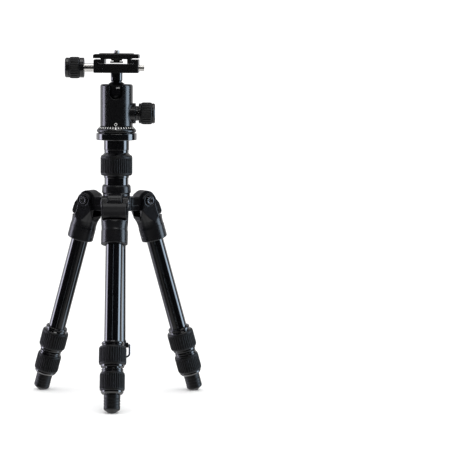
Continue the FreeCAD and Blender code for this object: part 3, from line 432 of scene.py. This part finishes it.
def grip(node, matrix, ribs, band, depth=0.9):
    """The rubber sleeve of a collar or knob: rounded ribs that run out before a smooth band at each end."""
    inner, outer, low, high = span(node, matrix)
    outer -= INSET * MM
    corners = [Vector((inner, low))]
    corners += [Vector((outer - fall * MM, low + rise * MM)) for fall, rise in GRIP_END]
    corners += [Vector((outer - fall * MM, high - rise * MM)) for fall, rise in reversed(GRIP_END)]
    corners.append(Vector((inner, high)))

    def groove(angle, radius, height):
        if radius < (inner + outer) / 2:
            return 0
        along = smoothstep(low + band, low + band + GRIP_FADE * MM, height)
        along *= 1 - smoothstep(high - band - GRIP_FADE * MM, high - band, height)
        across = 0.5 + 0.5 * math.cos(ribs * angle)
        return depth * MM * along * across ** 2

    outline = divided(rounded(corners, GRIP_ROUND * MM, 4), GRIP_STEP * MM)
    add_piece(node + "_fine", lathe(outline, matrix, ribs * TURNS_TO_A_RIB, groove), node)


# ---------------------------------------------------------------- castings

# The parts rebuilt from small even faces: a face's size in millimetres, and the passes of smoothing.
SOFTENING = {
    "knuckle": (0.4, 7),
    "angle_tab": (0.25, 3),
    "spider": (0.45, 5),
    "hinge_bolts": (0.22, 2),
    "head_housing": (0.38, 4),
    "clamp_base": (0.25, 3),
    "clamp_jaw": (0.25, 3),
    "quick_plate": (0.32, 3),
    "plate_pad": (0.22, 2),
}

# Their round walls, in millimetres: radius, lowest and highest point, and how far off the points may be.
ROUND_WALLS = {
    "knuckle": (14.2, -44.0, -30.8, 0.3),
    "spider": (14.6, 204.2, 222.4, 0.12),
    "head_housing": (17.5, 295.2, 338.0, 0.35),
}


def remeshed(node, matrix, voxel, passes):
    """A node's mesh rebuilt in the matrix's axes from small even faces, with all its edges softened."""
    source = frame["nodes"][node].data.copy()
    source.transform(matrix.inverted())
    thing = bpy.data.objects.new("block", source)
    bpy.context.collection.objects.link(thing)
    remesh = thing.modifiers.new("remesh", "REMESH")
    remesh.mode = "VOXEL"
    remesh.voxel_size = voxel * MM
    smooth = thing.modifiers.new("smooth", "SMOOTH")
    smooth.factor = 0.5
    smooth.iterations = passes
    bpy.context.view_layer.update()
    graph = bpy.context.evaluated_depsgraph_get()
    mesh = bpy.data.meshes.new_from_object(thing.evaluated_get(graph))
    bpy.data.objects.remove(thing)
    return mesh


def snap_round(mesh, radius, low, high, reach):
    """Put points that lie almost on a cylinder about the Z axis exactly on it. Sizes are in millimetres."""
    for vertex in mesh.vertices:
        flat = Vector((vertex.co.x, vertex.co.y))
        if low * MM <= vertex.co.z <= high * MM and abs(flat.length - radius * MM) < reach * MM:
            flat *= radius * MM / flat.length
            vertex.co.x = flat.x
            vertex.co.y = flat.y


def softened(part, node, matrix):
    """The mesh of a cast or moulded part with its edges softened and its round wall kept round."""
    voxel, passes = SOFTENING[part]
    mesh = remeshed(node, matrix, voxel * COARSE, passes)
    if part in ROUND_WALLS:
        snap_round(mesh, *ROUND_WALLS[part])
    return mesh


def make_castings(*nodes):
    """Stand in for CAD nodes with softened ones."""
    for node in nodes:
        add_piece(node + "_fine", softened(node, node, UPRIGHT), node)


# ---------------------------------------------------------------- legs

def make_legs():
    """The three legs: their castings are softened once and reused, and the turned pieces are made anew."""
    front = leg_axes("front")
    castings = {part: softened(part, "front_" + part, front) for part in ("knuckle", "angle_tab")}
    for leg in LEGS:
        matrix = leg_axes(leg)
        for part, mesh in castings.items():
            own = mesh.copy()
            own.transform(matrix)
            add_piece(leg + "_" + part + "_fine", own, leg + "_" + part)
        for part in ("middle_tube", "lower_tube"):
            turned(leg + "_" + part, matrix, TUBE_EDGE)
        for part in ("upper_collar", "lower_collar"):
            turned(leg + "_" + part, matrix, COLLAR_EDGE)
        for part in ("upper_grip", "lower_grip"):
            grip(leg + "_" + part, matrix, ribs=36, band=1.9 * MM)
        make_upper_tube(leg, matrix)
        make_foot(leg, matrix)


# The keyways in a leg's fixed tube, in millimetres: depth, and half the width at the floor and at the rim.
KEYWAYS = 3
KEYWAY_DEPTH = 0.3
KEYWAY_FLOOR = 0.35
KEYWAY_RIM = 0.62


def make_upper_tube(leg, matrix):
    """A leg's fixed tube, with rounded keyways along it."""
    node = leg + "_upper_tube"
    inner, outer, low, high = span(node, matrix)
    apart = 2 * math.pi / KEYWAYS

    def keyway(angle, radius, height):
        if radius < (inner + outer) / 2:
            return 0
        off = (angle + apart / 2) % apart - apart / 2
        return KEYWAY_DEPTH * MM * (1 - smoothstep(KEYWAY_FLOOR * MM, KEYWAY_RIM * MM, abs(off) * radius))

    corners = [Vector((inner, low)), Vector((outer, low)), Vector((outer, high)), Vector((inner, high))]
    mesh = lathe(rounded(corners, TUBE_EDGE * MM), matrix, KEYED_TUBE_TURNS, keyway)
    weight_normals(add_piece(node + "_fine", mesh, node))


# A foot, in millimetres. Places along the leg are counted up from its hinge, so they are below zero.
FOOT_NOSE = -224.8
FOOT_SHOULDER = -219.8
FOOT_SOCKET = -215.3
FOOT_SOCKET_RADIUS = 7.0
FOOT_NOSE_RADIUS = 2.6
FOOT_GROOVES = 3
FOOT_FIRST_GROOVE = 3.4
FOOT_GROOVE_PITCH = 3.2

# The outline of one groove: depth and distance up from where it starts.
FOOT_GROOVE = ((0, 0), (0.35, 0.3), (0.35, 0.7), (0, 1.0))


def foot_outline(outer, high):
    """A foot's outline, up from its nose and down again inside, where the tube's end stands in it."""
    nose = FOOT_NOSE * MM
    shoulder = FOOT_SHOULDER * MM
    corners = [
        Vector((0, nose)),
        Vector((FOOT_NOSE_RADIUS * MM, nose + 0.3 * MM)),
        Vector((outer - 0.7 * MM, shoulder - 1 * MM)),
        Vector((outer, shoulder)),
    ]
    for number in range(FOOT_GROOVES):
        start = shoulder + (FOOT_FIRST_GROOVE + FOOT_GROOVE_PITCH * number) * MM
        corners += [Vector((outer - depth * MM, start + rise * MM)) for depth, rise in FOOT_GROOVE]
    corners += [
        Vector((outer, high - 0.5 * MM)),
        Vector((outer - 0.5 * MM, high)),
        Vector((FOOT_SOCKET_RADIUS * MM, high)),
        Vector((FOOT_SOCKET_RADIUS * MM, FOOT_SOCKET * MM)),
        Vector((0, FOOT_SOCKET * MM)),
    ]
    return rounded(corners, FOOT_EDGE * MM)


def cut_at_floor(mesh):
    """Take away what is below the floor and close the cut with a flat face."""
    build = bmesh.new()
    build.from_mesh(mesh)
    everything = build.verts[:] + build.edges[:] + build.faces[:]
    bmesh.ops.bisect_plane(build, geom=everything, plane_co=(0, 0, 0), plane_no=(0, 0, -1), clear_outer=True)
    rim = [edge for edge in build.edges if edge.is_boundary]
    bmesh.ops.contextual_create(build, geom=rim)
    build.to_mesh(mesh)
    build.free()
    turn_outward(mesh)


def make_foot(leg, matrix):
    """A rubber foot with grip rings round it and the flat that the floor has worn on its nose."""
    node = leg + "_foot"
    _, outer, _, high = span(node, matrix)
    mesh = lathe(foot_outline(outer - INSET * MM, high), matrix, FOOT_TURNS)
    cut_at_floor(mesh)
    weight_normals(add_piece(node + "_fine", mesh, node))


# ---------------------------------------------------------------- middle and column

# The turned pieces round the column, with the radius in millimetres that rounds their edges.
COLUMN_PIECES = {
    "column_sleeve": 0.3,
    "column_lock_collar": COLLAR_EDGE,
    "column_tube": TUBE_EDGE,
    "column_plate": 0.35,
    "pan_base": 0.3,
}


def make_middle():
    """The spider, the column and the column's lock."""
    make_castings("spider")
    for node, radius in COLUMN_PIECES.items():
        turned(node, UPRIGHT, radius, COLUMN_TURNS)
    grip("column_lock_grip", UPRIGHT, ribs=44, band=2.6 * MM)
    make_castings("hinge_bolts")


# ---------------------------------------------------------------- head

def make_head():
    """The ball head: housing, clamp, plate, knobs and screw. The ball and its stem show as CAD nodes."""
    make_castings("head_housing", "clamp_base", "clamp_jaw", "quick_plate", "plate_pad")
    turned("lock_knob", LOCK_LINE, KNOB_EDGE)
    turned("clamp_knob", CLAMP_LINE, KNOB_EDGE)
    make_camera_screw()
    grip("lock_knob_grip", LOCK_LINE, ribs=24, band=1.4 * MM, depth=0.8)
    grip("clamp_knob_grip", CLAMP_LINE, ribs=24, band=1.4 * MM, depth=0.8)


# The 1/4 inch camera screw with 20 turns to the inch, and the pieces under its shank, in millimetres.
SCREW_RADIUS = 3.175
SCREW_PITCH = 1.27
SCREW_THREAD_DEPTH = 0.3
SCREW_BOSS_RADIUS = 3.4
SCREW_BOSS_TOP = 2.4
SCREW_HEAD_TOP = 4
SCREW_NECK_RADIUS = 2.8
SCREW_TIP_FALL = 0.7
SCREW_TIP_RISE = 0.6
SCREW_THREAD_START = 0.2
SCREW_CORE = 2
SCREW_STEP = 0.12


def make_camera_screw():
    """The camera screw: the boss that the ring folds round, the head, the neck and the threaded shank."""
    _, outer, low, high = span("camera_screw", UPRIGHT)
    pad = span("plate_pad", UPRIGHT)[3]
    thread_low = pad - SCREW_THREAD_START * MM
    shank = SCREW_RADIUS * MM
    corners = [
        Vector((0, low)),
        Vector((SCREW_BOSS_RADIUS * MM, low)),
        Vector((SCREW_BOSS_RADIUS * MM, low + SCREW_BOSS_TOP * MM)),
        Vector((outer, low + SCREW_BOSS_TOP * MM)),
        Vector((outer, low + SCREW_HEAD_TOP * MM)),
        Vector((SCREW_NECK_RADIUS * MM, low + SCREW_HEAD_TOP * MM)),
        Vector((SCREW_NECK_RADIUS * MM, thread_low)),
        Vector((shank, pad + 0.1 * MM)),
        Vector((shank, high - SCREW_TIP_RISE * MM)),
        Vector((shank - SCREW_TIP_FALL * MM, high)),
        Vector((0, high)),
    ]

    def thread(angle, radius, height):
        if height < thread_low or radius < SCREW_CORE * MM:
            return 0
        turns_up = 2 * math.pi * height / (SCREW_PITCH * MM)
        return SCREW_THREAD_DEPTH * MM * (0.5 + 0.5 * math.cos(turns_up - angle))

    outline = divided(rounded(corners, SCREW_EDGE * MM), SCREW_STEP * MM)
    add_piece("camera_screw_fine", lathe(outline, UPRIGHT, SCREW_TURNS, thread), "camera_screw")


# ---------------------------------------------------------------- marks and small fittings

def slab(build, corners, thickness):
    """A closed plate under an outline of points on a surface, thickened towards the object's middle."""
    top = [build.verts.new(corner) for corner in corners]
    below = []
    for corner in corners:
        inward = Vector((corner.x, corner.y, 0)).normalized() * thickness
        below.append(build.verts.new(corner - inward))
    count = len(corners)
    build.faces.new(top)
    build.faces.new(reversed(below))
    for index in range(count):
        after = (index + 1) % count
        build.faces.new((top[after], top[index], below[index], below[after]))


def on_turn(radius, angle, height):
    """A point at a radius, an angle from the front and a height."""
    return Vector((radius * math.sin(angle), -radius * math.cos(angle), height))


def add_print(name, build, node):
    """Make a white print of a finished bmesh, riding with a CAD node."""
    mesh = bpy.data.meshes.new(name)
    build.to_mesh(mesh)
    build.free()
    turn_outward(mesh)
    mark = add_piece(name, mesh, node, PRINT, replaces=False)


# The cone under the pan base's rim, in millimetres: radius above and below, its height, and where it starts.
CONE_TOP_RADIUS = 17.9
CONE_FOOT_RADIUS = 20.6
CONE_HEIGHT = 2.9
CONE_BELOW_TOP = 8.4

# The marks on it: their number, and how far below the cone's top they start, in millimetres.
MARKS = 40
MARKS_TO_A_LARGE_ONE = 10
MARK_TOP = 0.25

# How far below the cone's top a mark ends, and half its width at the lower and the upper end, in millimetres.
LARGE_MARK = (2.6, 0.8, 0.25)
SMALL_MARK = (1.9, 0.45, 0.2)
MARK_THICKNESS = 0.12

# The marks stand this far out of the cone, in millimetres.
MARK_PROUD = 0.03


def make_degree_marks():
    """White wedges round the pan base's cone, every 9 degrees, with a larger one every 90."""
    build = bmesh.new()
    top = span("pan_base", UPRIGHT)[3] - CONE_BELOW_TOP * MM
    high = top - MARK_TOP * MM
    slope = (CONE_FOOT_RADIUS - CONE_TOP_RADIUS) / CONE_HEIGHT

    def cone(height):
        return CONE_TOP_RADIUS * MM + (top - height) * slope + MARK_PROUD * MM

    for number in range(MARKS):
        middle = math.radians(360 / MARKS * number)
        drop, wide, narrow = SMALL_MARK if number % MARKS_TO_A_LARGE_ONE else LARGE_MARK
        low = top - drop * MM
        slab(build, [
            on_turn(cone(low), middle - wide * MM / cone(low), low),
            on_turn(cone(low), middle + wide * MM / cone(low), low),
            on_turn(cone(high), middle + narrow * MM / cone(high), high),
            on_turn(cone(high), middle - narrow * MM / cone(high), high),
        ], MARK_THICKNESS * MM)
    add_print("degree_marks", build, "pan_base")


# The index, in millimetres: its distance from the axis, and its ring's middle above the housing's lower edge.
INDEX_RADIUS = 17.53
INDEX_HEIGHT = 2.4
INDEX_THICKNESS = 0.1
INDEX_STEPS = 28

# Half the ring's width and height, outside and inside.
INDEX_OUTSIDE = (1.35, 1.65)
INDEX_INSIDE = (1.0, 1.3)

# The pointer under the ring: half its width, how far below the ring's middle it starts, and how far above the
# housing's lower edge its tip is.
POINTER_WIDE = 0.35
POINTER_TOP = 1.6
POINTER_TIP = 0.35


def make_index_mark():
    """The index on the housing: a small ring over a pointer that the degree marks are read against."""
    build = bmesh.new()
    radius = INDEX_RADIUS * MM
    base = span("head_housing", UPRIGHT)[2]
    centre = base + INDEX_HEIGHT * MM

    def on_ring(step, half_size):
        wide, tall = half_size
        turn = 2 * math.pi * step / INDEX_STEPS
        across = wide * MM * math.cos(turn)
        return on_turn(radius, across / radius, centre + tall * MM * math.sin(turn))

    for step in range(INDEX_STEPS):
        slab(build, [
            on_ring(step, INDEX_OUTSIDE),
            on_ring(step + 1, INDEX_OUTSIDE),
            on_ring(step + 1, INDEX_INSIDE),
            on_ring(step, INDEX_INSIDE),
        ], INDEX_THICKNESS * MM)
    pointer_top = centre - POINTER_TOP * MM
    slab(build, [
        on_turn(radius, -POINTER_WIDE * MM / radius, pointer_top),
        on_turn(radius, POINTER_WIDE * MM / radius, pointer_top),
        on_turn(radius, 0, base + POINTER_TIP * MM),
    ], INDEX_THICKNESS * MM)
    add_print("index_mark", build, "head_housing")


# Where a grub screw stands in the leg's own axes, and its outline as radius and height, in millimetres.
GRUB_SCREW_PLACE = (-14.2, 0, -38.2)
GRUB_SCREW = ((0, -0.9), (1.5, -0.9), (1.5, 0.05), (1.2, 0.2), (0.75, 0.1), (0.65, -0.6), (0, -0.6))


def make_grub_screws():
    """The set screw in each socket's inner side that holds the leg's tube."""
    for leg in LEGS:
        matrix = leg_axes(leg)
        outward, across, up = (Vector(column[:3]) for column in matrix.col[:3])
        origin = matrix @ (Vector(GRUB_SCREW_PLACE) * MM)
        corners = [Vector(corner) * MM for corner in GRUB_SCREW]
        inward = axes(origin, up, across, -outward)
        mesh = lathe(rounded(corners, GRUB_SCREW_EDGE * MM), inward, GRUB_SCREW_TURNS)
        screw = add_piece(leg + "_grub_screw", mesh, leg + "_knuckle", DARK_STEEL, replaces=False)


# ---------------------------------------------------------------- studio

# The surroundings that the gloss mirrors: degrees to the right of the front, and the light's colour there.
SURROUNDINGS = (
    (-180, (0.45, 0.45, 0.47)),
    (-150, (0.6, 0.6, 0.62)),
    (-113, (1.1, 1.1, 1.2)),
    (-111, (0.1, 0.1, 0.12)),
    (-109, (4.6, 4.5, 5.5)),
    (-91, (4.6, 4.5, 5.5)),
    (-89, (0.03, 0.03, 0.035)),
    (0, (0.006, 0.006, 0.006)),
    (74, (0.03, 0.035, 0.04)),
    (77, (3.9, 4.8, 5.8)),
    (100, (3.9, 4.8, 5.8)),
    (103, (0.02, 0.02, 0.02)),
    (124, (0.02, 0.02, 0.02)),
    (129, (0.8, 0.8, 0.8)),
    (180, (0.45, 0.45, 0.47)),
)

# How strongly the surroundings are mirrored at each height of the direction looked in, -1 down to 1 up.
HEIGHTS = ((-0.6, 0.2), (-0.3, 0.5), (-0.12, 1.0), (0.25, 1.0), (0.45, 0.55), (0.8, 0.45), (0.95, 0.0))

# The ground's glow in the gloss starts at the first height and is full from the second.
GROUND_START = -0.45
GROUND_FULL = -0.7
GROUND_GLOW = 0.8

# The white that the eye and matt surfaces see.
WHITE_GLOW = 1.25


def ramp(tree, value, stops):
    """A colour ramp over a value, from (place, colour) pairs in order."""
    node = tree.nodes.new("ShaderNodeValToRGB")
    elements = node.color_ramp.elements
    while len(elements) < len(stops):
        elements.new(0.5)
    for element, (place, color) in zip(elements, stops):
        element.position = place
    for element, (place, color) in zip(elements, stops):
        element.color = (*color, 1)
    tree.links.new(value, node.inputs["Fac"])
    return node.outputs["Color"]


def azimuth_share(tree, direction):
    """A direction's angle to the right of the front, as a share of the whole turn from behind to behind."""
    front = tree.nodes.new("ShaderNodeMath")
    front.operation = "MULTIPLY"
    front.inputs[1].default_value = -1
    tree.links.new(direction.outputs["Y"], front.inputs[0])
    angle = tree.nodes.new("ShaderNodeMath")
    angle.operation = "ARCTAN2"
    tree.links.new(direction.outputs["X"], angle.inputs[0])
    tree.links.new(front.outputs["Value"], angle.inputs[1])
    return mapped(tree, angle.outputs["Value"], -math.pi, math.pi)


def walls(tree, direction):
    """The light of the surroundings all round, with its strength by height."""
    node = tree.nodes.new("ShaderNodeBackground")
    around = [((degrees + 180) / 360, color) for degrees, color in SURROUNDINGS]
    tree.links.new(ramp(tree, azimuth_share(tree, direction), around), node.inputs["Color"])
    rise = mapped(tree, direction.outputs["Z"], -1, 1)
    upward = [((height + 1) / 2, (level, level, level)) for height, level in HEIGHTS]
    tree.links.new(ramp(tree, rise, upward), node.inputs["Strength"])
    return node.outputs["Background"]


def ground(tree, direction):
    """The white that the gloss mirrors from below."""
    node = tree.nodes.new("ShaderNodeBackground")
    node.inputs["Color"].default_value = (1, 1, 1, 1)
    glow = mapped(tree, direction.outputs["Z"], GROUND_START, GROUND_FULL, 0, GROUND_GLOW)
    tree.links.new(glow, node.inputs["Strength"])
    return node.outputs["Background"]


def make_world():
    """White for the eye and for matt surfaces; a studio with two tall softboxes for the gloss."""
    world = bpy.data.worlds.new("studio")
    bpy.context.scene.world = world
    world.use_nodes = True
    tree = world.node_tree
    white = tree.nodes["Background"]
    white.inputs["Color"].default_value = (1, 1, 1, 1)
    white.inputs["Strength"].default_value = WHITE_GLOW
    place = tree.nodes.new("ShaderNodeTexCoord")
    direction = tree.nodes.new("ShaderNodeSeparateXYZ")
    tree.links.new(place.outputs["Generated"], direction.inputs["Vector"])
    studio = tree.nodes.new("ShaderNodeAddShader")
    tree.links.new(walls(tree, direction), studio.inputs[0])
    tree.links.new(ground(tree, direction), studio.inputs[1])
    path = tree.nodes.new("ShaderNodeLightPath")
    mix = tree.nodes.new("ShaderNodeMixShader")
    tree.links.new(path.outputs["Is Glossy Ray"], mix.inputs["Fac"])
    tree.links.new(white.outputs["Background"], mix.inputs[1])
    tree.links.new(studio.outputs["Shader"], mix.inputs[2])
    tree.links.new(mix.outputs["Shader"], tree.nodes["World Output"].inputs["Surface"])


# The floor, in metres, and its white.
FLOOR_SIZE = 2
FLOOR_MIDDLE = (0, 0.7, 0)
FLOOR_WHITE = 0.93
FLOOR_ROUGHNESS = 0.9


def make_floor():
    """A matt white floor that ends just in front of the tripod."""
    bpy.ops.mesh.primitive_plane_add(size=FLOOR_SIZE, location=FLOOR_MIDDLE)
    floor = bpy.context.object
    floor.name = "floor"
    paint = bpy.data.materials.new("floor_paint")
    paint.use_nodes = True
    shader = paint.node_tree.nodes["Principled BSDF"]
    shader.inputs["Base Color"].default_value = (FLOOR_WHITE, FLOOR_WHITE, FLOOR_WHITE, 1)
    shader.inputs["Roughness"].default_value = FLOOR_ROUGHNESS
    floor.data.materials.append(paint)
    floor.visible_glossy = False


def softbox(name, width, depth, energy, place):
    """A rectangular area light that shines straight down."""
    data = bpy.data.lights.new(name, "AREA")
    data.shape = "RECTANGLE"
    data.size = width
    data.size_y = depth
    data.energy = energy
    lamp = bpy.data.objects.new(name, data)
    bpy.context.collection.objects.link(lamp)
    lamp.location = place
    return lamp


def make_lights():
    """A softbox above, and one in front and to the right that is aimed at the head. Places are in metres."""
    softbox("top", width=0.9, depth=0.9, energy=5, place=(0, 0, 1.7))
    place = Vector((0.36, -1.0, 1.5))
    head = Vector((0, 0, 0.33))
    key = softbox("key", width=0.9, depth=0.35, energy=3, place=place)
    key.rotation_euler = (place - head).to_track_quat("Z", "Y").to_euler()


make_camera()
dress_nodes()
make_legs()
make_middle()
make_head()
make_degree_marks()
make_index_mark()
make_grub_screws()
make_world()
make_floor()
make_lights()
bpy.context.scene.view_settings.view_transform = "Standard"
